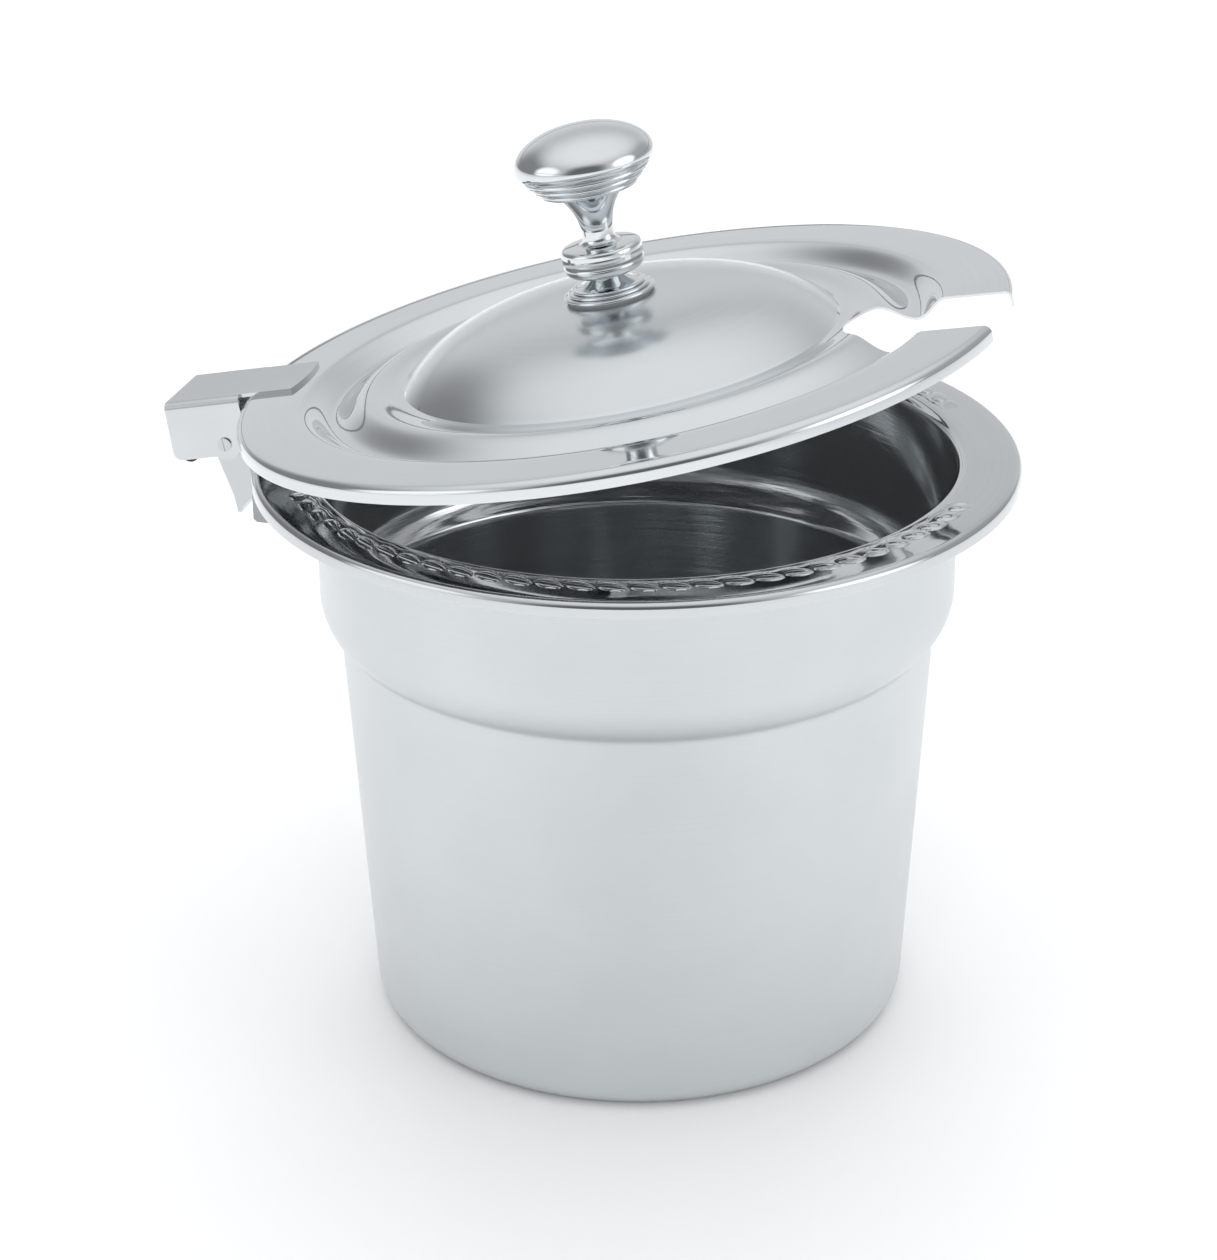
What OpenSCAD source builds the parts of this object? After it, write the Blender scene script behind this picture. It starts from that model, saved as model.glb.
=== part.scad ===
// Soup kettle: a deep drawn steel inset with a wide rim, and a hinged lid with a ladle notch.
// The origin is the centre of the underside of the base. The hinge is at +Y, the ladle notch
// at -Y. The lid is drawn standing open by lid_open about the hinge pin.

/* [Kettle] */
// Radius of the straight band under the rim
band_r = 106.5; // [100:0.5:112]
// Height of the rim above the base
kettle_h = 198.5; // [185:0.5:215]
// Outer radius of the rim
rim_r = 127; // [125:0.5:127]
// Thickness of the kettle's sheet
kettle_t = 1; // [0.8:0.1:1.4]
// Height at which the band starts to turn in to the shoulder
shoulder_z = 153.5; // [145:0.5:160]
// Radius of the shoulder's turn
shoulder_r = 18; // [14:0.5:20]
// Draft of the lower wall, in degrees
wall_draft = 3.2; // [2:0.1:4]
// Outside radius between the wall and the base
base_corner_r = 9; // [6:0.5:14]
// Height of the rim's turned-down edge
rim_lip_h = 5; // [4.5:0.1:6]

/* [Lid] */
// Angle at which the lid stands open
lid_open = 10.6; // [6:0.1:40]
// Outer radius of the lid
lid_r = 128.3; // [128.2:0.1:129]
// Thickness of the lid's sheet
lid_t = 0.8; // [0.6:0.1:1]
// Gap between the rim and the lid's edge when the two are parallel
lid_gap = 6.2; // [5.8:0.1:7]
// Height of the lid's turned-down edge
lid_lip_h = 5.3; // [4.8:0.1:6]
// Depth of the channel pressed into the lid
channel_depth = 6; // [4:0.5:6.5]
// Radius of the foot of the dome
dome_r = 72.5; // [70:0.5:74]
// Rise of the dome above its foot
dome_rise = 17.6; // [15:0.1:22]
// How flat the top of the dome is
dome_flatness = 4; // [3:0.1:6]
// Width of the ladle notch
notch_w = 34; // [28:1:40]
// Distance from the lid's centre to the closed end of the notch
notch_end_r = 76; // [73:0.5:78]
// Turn of the notch away from the point opposite the hinge, in degrees
notch_turn = 4; // [0:0.5:6]

/* [Hinge] */
// Distance from the kettle's axis to the hinge pin
pin_y = 138.5; // [138.5:0.5:140]
// Height of the hinge pin
pin_z = 195; // [194:0.5:196]
// Diameter of the hinge pin
pin_d = 3.2; // [3:0.1:3.6]
// Overall width of the hood
hood_w = 33; // [32:0.5:36]
// Thickness of the hinge's plates
plate_t = 1.2; // [1:0.1:1.6]
// Distance from the hinge pin to the rear end of the hood
hood_reach = 18.5; // [17.5:0.5:20]
// Diameter of the rubber bumper
bumper_d = 7; // [6:0.5:7]

/* [Knob] */
// Radius of the knob's head
head_r = 23; // [21:0.5:25]
// Height of the knob's domed cap
cap_h = 11.5; // [9:0.5:13]
// Radius of the knob's collar
collar_r = 13.3; // [12.5:0.1:14.5]
// Diameter of the stud that holds the knob
stud_d = 6; // [5:0.5:6]

/* [Hidden] */
$fn = 96;

steel = "gainsboro";
dark_steel = "slategray";
rubber = "dimgray";

arc_steps = 10;
profile_steps = 14;

// Points of an arc in the r-z plane, from angle a0 to a1.
function arc(centre, radius, a0, a1, steps = arc_steps) =
    [for (i = [0 : steps])
        let (a = a0 + (a1 - a0) * i / steps)
        centre + radius * [cos(a), sin(a)]];

// An S-shaped run from one point to another that is level at both ends.
function level_blend(from, to, steps = profile_steps) =
    [for (i = [1 : steps])
        let (s = i / steps)
        [from[0] + (to[0] - from[0]) * s,
         from[1] + (to[1] - from[1]) * (1 - cos(180 * s)) / 2]];

// Unit vector to the left of the run from a to b.
function left_of(a, b) = [a[1] - b[1], b[0] - a[0]] / norm(b - a);

// The path moved sideways to its left by the sheet's thickness.
function left_offset(path, t) =
    [for (i = [0 : len(path) - 1])
        let (before = path[max(i - 1, 0)],
             after = path[min(i + 1, len(path) - 1)])
        path[i] + t * left_of(before, after)];

// The same points in the opposite order.
function reversed(path) = [for (i = [len(path) - 1 : -1 : 0]) path[i]];

// A sheet of one thickness turned about the Z axis, from the path of its one face.
module spun_sheet(path, t) {
    rotate_extrude()
        polygon(concat(path, reversed(left_offset(path, t))));
}

// A cylinder along X, centred on the plane x = 0.
module cross_bar(y, z, d, length) {
    translate([-length / 2, y, z])
        rotate([0, 90, 0])
            cylinder(d = d, h = length);
}

// A flat plate across X, from x0 to x0 + t, with an outline given in y and z.
module side_plate(x0, t) {
    translate([x0, 0, 0])
        rotate([90, 0, 90])
            linear_extrude(t)
                children();
}

// ---- Kettle -------------------------------------------------------------

mouth_bend_r = 3;
rim_bend_r = 2.5;
crease_r = 4;
shoulder_turn = 45;
under_rim_z = kettle_h - kettle_t;

shoulder_end = [band_r - shoulder_r + shoulder_r * cos(shoulder_turn),
                shoulder_z - shoulder_r * sin(shoulder_turn)];
crease_centre = shoulder_end + crease_r * [cos(shoulder_turn), -sin(shoulder_turn)];
wall_top = crease_centre + crease_r * [-cos(wall_draft), sin(wall_draft)];
base_edge_r = wall_top[0] - wall_top[1] * tan(wall_draft);
corner_centre = [base_edge_r + base_corner_r * tan(wall_draft)
                     - base_corner_r / cos(wall_draft),
                 base_corner_r];

kettle_outside = concat(
    [[0, 0]],
    arc(corner_centre, base_corner_r, -90, -wall_draft),
    arc(crease_centre, crease_r, 180 - wall_draft, 180 - shoulder_turn),
    arc([band_r - shoulder_r, shoulder_z], shoulder_r, -shoulder_turn + 5, 0),
    arc([band_r + mouth_bend_r, under_rim_z - mouth_bend_r], mouth_bend_r, 180, 90),
    arc([rim_r - rim_bend_r, kettle_h - rim_bend_r], rim_bend_r - kettle_t, 90, 0),
    [[rim_r - kettle_t, kettle_h - rim_lip_h]]);

// The deep drawn pot with its shoulder, band and wide turned-down rim.
module kettle_body() {
    color(steel)
        spun_sheet(kettle_outside, kettle_t);
}

// ---- Rim clip -----------------------------------------------------------

ear_gap = 0.8;
clip_w = hood_w - 2 * plate_t - 2 * ear_gap;
web_y = pin_y - 7;
web_bottom_z = pin_z - 25;
tip_y = web_y + 4.5;
hook_z = kettle_h + 0.3;
hook_t = 1.2;
hook_y = 113;
clip_ear_r = 5.5;
clip_ear_rear = 4.6;
clip_ear_taper_z = pin_z - 3;
running_gap = 0.06;
hole_l = 15;
screw_z = pin_z - 8;
screw_d = 3;
screw_x = 7;
screw_gap = 0.2;
flare_top_z = pin_z - 16;
lug_drop = 6;

// Outline of one ear of the clip: round the pin, tapering down to a tip at the web.
module clip_ear_outline() {
    difference() {
        union() {
            translate([pin_y, pin_z])
                circle(clip_ear_r);
            polygon([[web_y, pin_z + clip_ear_r],
                     [pin_y, pin_z + clip_ear_r],
                     [pin_y + clip_ear_rear, clip_ear_taper_z],
                     [tip_y + plate_t, web_bottom_z + lug_drop],
                     [tip_y, web_bottom_z],
                     [web_y - 1, web_bottom_z + lug_drop],
                     [web_y - 1, screw_z - 3]]);
        }
        translate([pin_y, pin_z])
            circle(d = pin_d + 2 * running_gap);
    }
}

// The folded clip on the rim: a hook over the rim, a web and two ears for the hinge pin.
module rim_clip() {
    color(steel)
        difference() {
            union() {
                for (x0 = [-clip_w / 2, clip_w / 2 - plate_t])
                    side_plate(x0, plate_t)
                        clip_ear_outline();
                side_plate(-clip_w / 2, clip_w)
                    polygon([[web_y, hook_z + hook_t],
                             [web_y, flare_top_z],
                             [tip_y - plate_t, web_bottom_z],
                             [tip_y, web_bottom_z],
                             [web_y + plate_t, flare_top_z],
                             [web_y + plate_t, hook_z + hook_t]]);
                side_plate(-clip_w / 2, clip_w)
                    polygon([[hook_y, hook_z],
                             [web_y + plate_t, hook_z],
                             [web_y + plate_t, hook_z + hook_t],
                             [hook_y, hook_z + hook_t]]);
            }
            for (x = [-screw_x, screw_x])
                translate([x, web_y - hole_l / 3, screw_z])
                    rotate([-90, 0, 0])
                        cylinder(d = screw_d + screw_gap, h = hole_l);
        }
}

// ---- Clip jaw -----------------------------------------------------------

jaw_w = clip_w - 4;
jaw_y = web_y - 0.1;
jaw_bottom_z = web_bottom_z - 4;
rim_lip_z = kettle_h - rim_lip_h;
jaw_edge_z = rim_lip_z - 1.5;
jaw_front_y = band_r + 1.5;
jaw_top_z = under_rim_z - 0.3;
jaw_inner_y = rim_r - kettle_t - 3;

// The clamping jaw under the rim: a back plate on the web and two cheeks up to the rim.
module clip_jaw() {
    color(dark_steel)
        difference() {
            union() {
                side_plate(-jaw_w / 2, jaw_w)
                    polygon([[jaw_y - plate_t, jaw_bottom_z],
                             [jaw_y, jaw_bottom_z + 1],
                             [jaw_y, jaw_edge_z],
                             [jaw_y - plate_t, jaw_edge_z]]);
                side_plate(-jaw_w / 2, jaw_w)
                    polygon([[jaw_front_y, jaw_bottom_z - 1],
                             [jaw_y - 1, jaw_bottom_z],
                             [jaw_y - 1, jaw_bottom_z + plate_t],
                             [jaw_front_y, jaw_bottom_z + plate_t - 1]]);
                for (x0 = [-jaw_w / 2, jaw_w / 2 - plate_t])
                    side_plate(x0, plate_t)
                        polygon([[jaw_front_y, jaw_bottom_z - 1],
                                 [jaw_y - 1, jaw_bottom_z],
                                 [jaw_y - 1, jaw_edge_z],
                                 [jaw_inner_y, jaw_edge_z + 0.5],
                                 [jaw_inner_y, jaw_top_z],
                                 [jaw_inner_y - 6, jaw_top_z],
                                 [jaw_front_y, jaw_bottom_z + 12]]);
            }
            for (x = [-screw_x, screw_x])
                translate([x, web_y - hole_l / 3, screw_z])
                    rotate([-90, 0, 0])
                        cylinder(d = screw_d, h = hole_l);
        }
}

// ---- Clip screws --------------------------------------------------------

screw_head_d = 5.4;
screw_head_h = 1.8;
screw_length = 8;
driver_slot = 0.8;
driver_slot_h = 0.8;

// Two pan-head screws that pull the jaw to the web, heads between the ears.
module clip_screws() {
    color(dark_steel)
        for (x = [-screw_x, screw_x])
            translate([x, web_y + plate_t, screw_z])
                rotate([90, 0, 0])
                    difference() {
                        union() {
                            translate([0, 0, -screw_head_h])
                                cylinder(d = screw_head_d, h = screw_head_h);
                            cylinder(d = screw_d - 0.1, h = screw_length);
                        }
                        translate([-screw_head_d, -driver_slot / 2, -screw_head_h - 1])
                            cube([2 * screw_head_d, driver_slot, driver_slot_h + 1]);
                    }
}

// ---- Hinge sleeve -------------------------------------------------------

sleeve_d = 7;
sleeve_gap = 0.3;

// The spacer tube on the pin that keeps the clip's ears apart.
module hinge_sleeve() {
    length = clip_w - 2 * plate_t - 2 * sleeve_gap;
    color(steel)
        difference() {
            cross_bar(pin_y, pin_z, sleeve_d, length);
            cross_bar(pin_y, pin_z, pin_d + 2 * running_gap, length + 2);
        }
}

// ---- Lid ----------------------------------------------------------------

// Everything on the lid is drawn with the lid parallel to the rim, then opened.
module opened() {
    translate([0, pin_y, pin_z])
        rotate([-lid_open, 0, 0])
            translate([0, -pin_y, -pin_z])
                children();
}

lid_edge_z = kettle_h + lid_gap;
lid_top_z = lid_edge_z + lid_lip_h;
lid_bend_r = 2.6;
flange_w = 21.5;
channel_outer_r = lid_r - flange_w;
valley_r = channel_outer_r - 10;
crown_r = dome_r + 11;
dome_foot_z = lid_top_z - 1.2;
dome_top_z = dome_foot_z + dome_rise;
stud_hole_r = stud_d / 2 + 0.2;
notch_depth = 60;

dome_path =
    [for (i = [1 : 2 * profile_steps])
        let (r = dome_r - (dome_r - stud_hole_r) * i / (2 * profile_steps))
        [r, dome_foot_z + dome_rise * (1 - pow(r / dome_r, dome_flatness))]];

lid_top = concat(
    [[lid_r, lid_edge_z]],
    arc([lid_r - lid_bend_r, lid_top_z - lid_bend_r], lid_bend_r, 0, 90),
    [[channel_outer_r, lid_top_z]],
    level_blend([channel_outer_r, lid_top_z], [valley_r, lid_top_z - channel_depth]),
    level_blend([valley_r, lid_top_z - channel_depth], [crown_r, lid_top_z - 0.2]),
    level_blend([crown_r, lid_top_z - 0.2], [dome_r, dome_foot_z]),
    dome_path);

// The pressed lid: turned-down edge, flange, channel, dome, and a notch for the ladle.
module lid_shell() {
    color(steel)
        opened()
            difference() {
                spun_sheet(lid_top, lid_t);
                rotate([0, 0, -notch_turn])
                    translate([0, -notch_end_r - notch_w / 2, lid_edge_z - 5])
                        linear_extrude(30)
                            union() {
                                circle(d = notch_w);
                                translate([-notch_w / 2, -notch_depth])
                                    square([notch_w, notch_depth]);
                            }
            }
}

// ---- Hinge hood ---------------------------------------------------------

hood_rear_y = pin_y + hood_reach;
hood_front_y = channel_outer_r + 3;
hood_ear_front_y = pin_y - 8.5;
hood_bottom_z = pin_z - 4;
hood_top_z = lid_top_z + plate_t;
hood_corner_r = 3;
hood_bend_r = 2.4;
nose_r = 70;
pin_lobe_r = 5.6;
front_lobe_r = 4.5;
pin_fit_gap = 0.02;

// Outline of the hood's side, without the lobe round the pin.
module hood_ear_outline() {
    difference() {
        union() {
            polygon(concat(
                [[hood_ear_front_y, hood_top_z - 1],
                 [hood_ear_front_y, pin_z]],
                [[pin_y, hood_bottom_z]],
                arc([hood_rear_y + 0.8 - hood_corner_r, hood_bottom_z + hood_corner_r],
                    hood_corner_r, -90, 0),
                [[hood_rear_y, hood_top_z - 1]]));
            translate([pin_y, pin_z])
                circle(r = pin_lobe_r);
            translate([pin_y - 4, pin_z + 1])
                circle(r = front_lobe_r);
        }
        translate([pin_y, pin_z])
            circle(d = pin_d + 2 * pin_fit_gap);
    }
}

// Cross-section of the hood in x and z: a top with bent corners and two sides.
module hood_section() {
    difference() {
        union() {
            translate([-hood_w / 2 + hood_bend_r, hood_top_z - hood_bend_r])
                circle(hood_bend_r);
            translate([hood_w / 2 - hood_bend_r, hood_top_z - hood_bend_r])
                circle(hood_bend_r);
            translate([-hood_w / 2 + hood_bend_r, hood_top_z - hood_bend_r])
                square([hood_w - 2 * hood_bend_r, hood_bend_r]);
            translate([-hood_w / 2, hood_bottom_z - 10])
                square([hood_w, hood_top_z - hood_bend_r - hood_bottom_z + 10]);
        }
        translate([-hood_w / 2 + plate_t, hood_bottom_z - 11])
            square([hood_w - 2 * plate_t, lid_top_z - hood_bottom_z + 11]);
    }
}

// The folded hood welded to the lid: a tongue on the flange and two ears on the pin.
module hinge_hood() {
    color(steel)
        opened() {
            intersection() {
                translate([0, hood_rear_y + 1, 0])
                    rotate([90, 0, 0])
                        linear_extrude(hood_rear_y + 1 - hood_ear_front_y)
                            hood_section();
                side_plate(-hood_w / 2, hood_w)
                    union() {
                        hood_ear_outline();
                        translate([hood_ear_front_y, hood_top_z - 4])
                            square([hood_rear_y - hood_ear_front_y, 5]);
                    }
            }
            translate([0, 0, lid_top_z])
                intersection() {
                    linear_extrude(plate_t)
                        translate([-hood_w / 2 + hood_bend_r, hood_front_y - 5])
                            square([hood_w - 2 * hood_bend_r, hood_ear_front_y + 6 - hood_front_y]);
                    translate([0, hood_front_y + nose_r, -1])
                        cylinder(r = nose_r, h = plate_t + 2);
                }
        }
}

// ---- Hinge pin and its retainer -----------------------------------------

pin_head_d = 4.8;
pin_head_h = 0.7;
pin_tail = 3;
pin_slot_w = 0.6;
pin_slot_h = 0.3;
retainer_t = 0.9;
retainer_d = 7.5;

// The headed pin through both ears.
module hinge_pin() {
    color(steel)
        opened()
            difference() {
                union() {
                    translate([-hood_w / 2 - pin_head_h, pin_y, pin_z])
                        rotate([0, 90, 0])
                            cylinder(d = pin_head_d, h = pin_head_h);
                    translate([-hood_w / 2 - pin_head_h, pin_y, pin_z])
                        rotate([0, 90, 0])
                            cylinder(d = pin_d, h = hood_w + pin_head_h + pin_tail);
                }
                translate([-hood_w / 2 - pin_head_h - 1, pin_y - pin_slot_w / 2, pin_z - pin_head_d])
                    cube([pin_slot_h + 1, pin_slot_w, 2 * pin_head_d]);
            }
}

// The push-on ring that holds the pin's plain end.
module pin_retainer() {
    color(dark_steel)
        opened()
            translate([hood_w / 2 + 0.05, pin_y, pin_z])
                rotate([0, 90, 0])
                    difference() {
                        cylinder(d = retainer_d, h = retainer_t);
                        translate([0, 0, -1])
                            cylinder(d = pin_d + 2 * pin_fit_gap, h = retainer_t + 2);
                    }
}

// ---- Hinge washers ------------------------------------------------------

washer_t = 0.5;
washer_d = 9;

// The two spring washers that give the hinge its drag, one inside each ear of the hood.
module hinge_washers() {
    color(dark_steel)
        opened()
            for (side = [-1, 1])
                translate([side * (hood_w / 2 - plate_t - washer_t / 2 - 0.02), pin_y, pin_z])
                    rotate([0, 90, 0])
                        difference() {
                            cylinder(d = washer_d, h = washer_t, center = true);
                            cylinder(d = pin_d + 2 * pin_fit_gap, h = 2, center = true);
                        }
}

// ---- Stop rod and bumper ------------------------------------------------

rod_d = 3;
rod_y = hood_rear_y - 3;
rod_z = hood_bottom_z + 1.2;
bumper_l = 24;

// The rod welded across the hood's rear end.
module stop_rod() {
    color(dark_steel)
        opened()
            cross_bar(rod_y, rod_z, rod_d, hood_w - 2 * plate_t);
}

// The rubber bumper on the rod, which meets the clip's web when the lid is wide open.
module stop_bumper() {
    color(rubber)
        opened()
            difference() {
                cross_bar(rod_y, rod_z, bumper_d, bumper_l);
                cross_bar(rod_y, rod_z, rod_d, bumper_l + 2);
            }
}

// ---- Knob ---------------------------------------------------------------

gasket_t = 0.7;
foot_z = dome_top_z + gasket_t;
foot_r = 15;
foot_step_h = 1.1;
neck_r = 4.6;
foot_neck_z = foot_z + 7.2;
seam_z = foot_z + 11.1;
seam_t = 0.7;
collar_z = seam_z + seam_t;
collar_h = 5;
stem_foot_z = collar_z + collar_h + 0.8;
waist_r = 5.3;
waist_z = stem_foot_z + 3.2;
flare_r = 11.5;
flare_z = waist_z + 14;
step_h = 2.3;
steps_top_z = flare_z + 3 * step_h;
widest_z = steps_top_z + 3;
cap_wall = 2;
cap_seat_h = 1.5;

// A run that narrows from r0 to r1 along a quarter of an ellipse.
function quarter(r0, z0, r1, z1, steps = arc_steps) =
    [for (i = [0 : steps])
        let (a = 90 * i / steps)
        [r1 + (r0 - r1) * (1 - sin(a)), z0 + (z1 - z0) * (1 - cos(a))]];

// The polished domed cap of the head, hollow inside.
module knob_cap() {
    inner_r = head_r - cap_wall;
    outside = concat(
        [[head_r - 3, steps_top_z]],
        arc([head_r - 3, widest_z], 3, -60, 0, 6),
        [for (a = [10 : 8 : 90]) [head_r * cos(a), widest_z + cap_h * sin(a)]]);
    inside = concat(
        [for (a = [90 : -10 : 0])
            [inner_r * cos(a), widest_z + (cap_h - cap_wall) * sin(a)]],
        [[inner_r - 2.5, steps_top_z + cap_seat_h],
         [inner_r - 6, steps_top_z + cap_seat_h],
         [inner_r - 6, steps_top_z]]);
    color(steel)
        opened()
            rotate_extrude()
                polygon(concat(outside, inside));
}

// The turned stem: the upper half of the collar, the waist, the flare and three steps.
module knob_stem() {
    color(steel)
        opened()
            difference() {
                rotate_extrude()
                    polygon(concat(
                        [[0, collar_z],
                         [collar_r - 0.6, collar_z]],
                        arc([collar_r - 1.6, collar_z + collar_h - 2.4], 1.6, 0, 70, 5),
                        [[waist_r + 2.6, collar_z + collar_h + 0.2]],
                        arc([waist_r + 2.6, stem_foot_z + 1.6], 2.2, 250, 180, 5),
                        [for (i = [1 : profile_steps])
                            let (s = i / profile_steps)
                            [waist_r + (flare_r - waist_r) * pow(s, 2.2),
                             waist_z + (flare_z - waist_z) * s]],
                        [for (k = [0 : 2], corner = [0, 1, 2])
                            [flare_r + 4.2 + 2.1 * k + (corner == 0 ? 0 : corner == 1 ? 1.2 : 0.6),
                             flare_z + step_h * (k + (corner == 0 ? 0.1 : corner == 1 ? 0.5 : 0.95))]],
                        [[head_r - 3.6, steps_top_z],
                         [0, steps_top_z]]));
                translate([0, 0, collar_z - 1])
                    cylinder(d = stud_d + 0.1, h = 21);
            }
}

// The dark ring that shows as the seam of the collar.
module knob_seam_ring() {
    color(rubber)
        opened()
            translate([0, 0, seam_z])
                difference() {
                    cylinder(r = collar_r - 0.8, h = seam_t);
                    translate([0, 0, -1])
                        cylinder(d = stud_d + stud_gap, h = seam_t + 2);
                }
}

// The turned foot: three steps, a flared neck and the lower half of the collar.
module knob_foot() {
    color(steel)
        opened()
            difference() {
                rotate_extrude()
                    polygon(concat(
                        [[0, foot_z],
                         [foot_r, foot_z],
                         [foot_r, foot_z + foot_step_h],
                         [foot_r - 1.3, foot_z + foot_step_h + 0.2],
                         [foot_r - 1.3, foot_z + 2 * foot_step_h],
                         [foot_r - 2.6, foot_z + 2 * foot_step_h + 0.2]],
                        quarter(foot_r - 3, foot_z + 3 * foot_step_h,
                                neck_r, foot_neck_z),
                        arc([collar_r - 2.6, seam_z - 0.4], 2.2, -80, 0, 6),
                        [[collar_r - 0.4, seam_z],
                         [0, seam_z]]));
                translate([0, 0, foot_z - 1])
                    cylinder(d = stud_d + 0.1, h = 13);
            }
}

// The thin gasket between the knob's foot and the lid.
module knob_gasket() {
    color(rubber)
        opened()
            translate([0, 0, dome_top_z + 0.02])
                difference() {
                    cylinder(r = foot_r - 0.8, h = gasket_t - 0.04);
                    translate([0, 0, -1])
                        cylinder(d = stud_d + stud_gap, h = gasket_t + 2);
                }
}

stud_bottom_z = dome_top_z - 9;
stud_length = 37;
stud_gap = 0.4;
under_lid_z = dome_top_z - lid_t;
plain_washer_t = 1.2;
plain_washer_d = 18;
nut_h = 5;
nut_d = 11.5;

// The stud through the knob and the lid.
module knob_stud() {
    color(dark_steel)
        opened()
            translate([0, 0, stud_bottom_z])
                cylinder(d = stud_d, h = stud_length);
}

// The plain washer under the lid.
module knob_washer() {
    color(steel)
        opened()
            translate([0, 0, under_lid_z - plain_washer_t - 0.03])
                difference() {
                    cylinder(d = plain_washer_d, h = plain_washer_t);
                    translate([0, 0, -1])
                        cylinder(d = stud_d + stud_gap, h = plain_washer_t + 2);
                }
}

// The hexagon nut under the washer.
module knob_nut() {
    color(steel)
        opened()
            translate([0, 0, under_lid_z - plain_washer_t - nut_h - 0.05])
                difference() {
                    cylinder(d = nut_d, h = nut_h, $fn = 6);
                    translate([0, 0, -1])
                        cylinder(d = stud_d + 0.02, h = nut_h + 2);
                }
}

kettle_body();
rim_clip();
clip_jaw();
clip_screws();
hinge_sleeve();
lid_shell();
hinge_hood();
hinge_pin();
pin_retainer();
hinge_washers();
stop_rod();
stop_bumper();
knob_cap();
knob_stem();
knob_seam_ring();
knob_foot();
knob_gasket();
knob_stud();
knob_washer();
knob_nut();
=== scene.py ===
import math
import bmesh
import bpy
import numpy as np
from mathutils import Matrix, Vector


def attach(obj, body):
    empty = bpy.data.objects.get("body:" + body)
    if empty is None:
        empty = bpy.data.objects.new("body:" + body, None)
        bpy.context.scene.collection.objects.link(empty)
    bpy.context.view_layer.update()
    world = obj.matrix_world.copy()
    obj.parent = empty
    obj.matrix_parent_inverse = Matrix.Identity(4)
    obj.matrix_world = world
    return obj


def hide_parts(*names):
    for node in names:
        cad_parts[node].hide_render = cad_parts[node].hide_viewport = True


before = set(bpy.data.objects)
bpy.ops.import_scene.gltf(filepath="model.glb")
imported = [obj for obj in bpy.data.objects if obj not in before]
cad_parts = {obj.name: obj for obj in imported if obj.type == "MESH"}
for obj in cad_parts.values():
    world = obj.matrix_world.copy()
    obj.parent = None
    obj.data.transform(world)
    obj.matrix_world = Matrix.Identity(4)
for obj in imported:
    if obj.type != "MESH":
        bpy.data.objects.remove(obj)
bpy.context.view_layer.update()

# ---- Camera ------------------------------------------------------------------
# A long lens a metre away, looking down on the kettle with the hinge at the left
# and the ladle notch at the right.

MM = 0.001
IMAGE_LONG_SIDE = 1260
FOCAL_IN_PIXELS = 3000
SENSOR_MM = 36
camera_distance = 929.7 * MM
camera_height = 552.7 * MM
camera_pitch = 0.4242
camera_pan = -0.0105
camera_roll = -0.0113
hinge_bearing = math.radians(166.5)


def camera_matrix():
    """Turns a camera that looks along +Y, down, aside and rolled, round the kettle's axis."""
    ahead = Vector((math.sin(camera_pan) * math.cos(camera_pitch),
                    math.cos(camera_pan) * math.cos(camera_pitch),
                    -math.sin(camera_pitch)))
    level = Vector((math.cos(camera_pan), -math.sin(camera_pan), 0))
    above = level.cross(ahead)
    side = math.cos(camera_roll) * level + math.sin(camera_roll) * above
    top = math.cos(camera_roll) * above - math.sin(camera_roll) * level
    place = Matrix((side, top, -ahead)).transposed().to_4x4()
    place.translation = Vector((0, -camera_distance, camera_height))
    return Matrix.Rotation(math.pi / 2 - hinge_bearing, 4, "Z") @ place


camera_data = bpy.data.cameras.new("camera")
camera_data.sensor_width = SENSOR_MM
camera_data.lens = SENSOR_MM * FOCAL_IN_PIXELS / IMAGE_LONG_SIDE
camera = bpy.data.objects.new("camera", camera_data)
bpy.context.scene.collection.objects.link(camera)
camera.matrix_world = camera_matrix()
bpy.context.scene.camera = camera
bpy.context.scene.view_settings.view_transform = "Standard"

# ---- Studio ------------------------------------------------------------------
# A white painted floor inside a light tent: grey walls with a dark seam round them, a bright
# roof, two bright softboxes beside the camera, and darker panels at the entrance and behind.
# Three lamps, which no mirror shows, light the floor and the kettle from above.

FLOOR_HALF_WIDTH = 12.0
floor_paint = "f7f7f7"
tent_paint = "fdfeff"
wall_low, wall_high, roof, seam_dark = 0.80, 0.62, 0.98, 0.25
roof_low, roof_high, seam_height, seam_half = 0.45, 0.97, 0.155, 0.012
# Panels of the tent: which way each lies in the camera's bearings, how bright it is, and the
# cosines of the angle off its middle at which it is full and at which it has faded out.
tent_panels = (
    ((-0.90, 0.40, 0.17), 0.28, 0.97, 0.72),    # dark, far left
    ((0.92, 0.35, 0.17), 0.46, 0.98, 0.76),     # dark, far right
    ((0.0, -0.99, 0.12), 0.16, 0.95, 0.70),     # the entrance, behind the camera
    ((-0.90, -0.36, 0.24), 1.35, 0.975, 0.90),  # left softbox
    ((0.90, -0.36, 0.24), 1.75, 0.975, 0.90))   # right softbox
wall_fade_low, wall_fade_high = 0.05, 0.65
SEAM_SOFTNESS = 0.7
# Lamps: place in the camera's bearings, height aimed at on the axis, two sides in metres, watts.
lamps = (("roof_lamp", (0, 0.6, 2.2), 0, 4.0, 4.0, 28.0),
         ("front_lamp", (0, -2.0, 1.5), 0, 1.6, 1.0, 11.0),
         ("far_lamp", (0, 3.2, 2.0), -3.0, 3.0, 3.0, 30.0))


def linear(hex_colour):
    """Linear RGBA of an sRGB hex colour."""
    parts = np.array([int(hex_colour[i:i + 2], 16) / 255 for i in (0, 2, 4)])
    return (*np.where(parts <= 0.04045, parts / 12.92, ((parts + 0.055) / 1.055) ** 2.4), 1.0)


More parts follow.
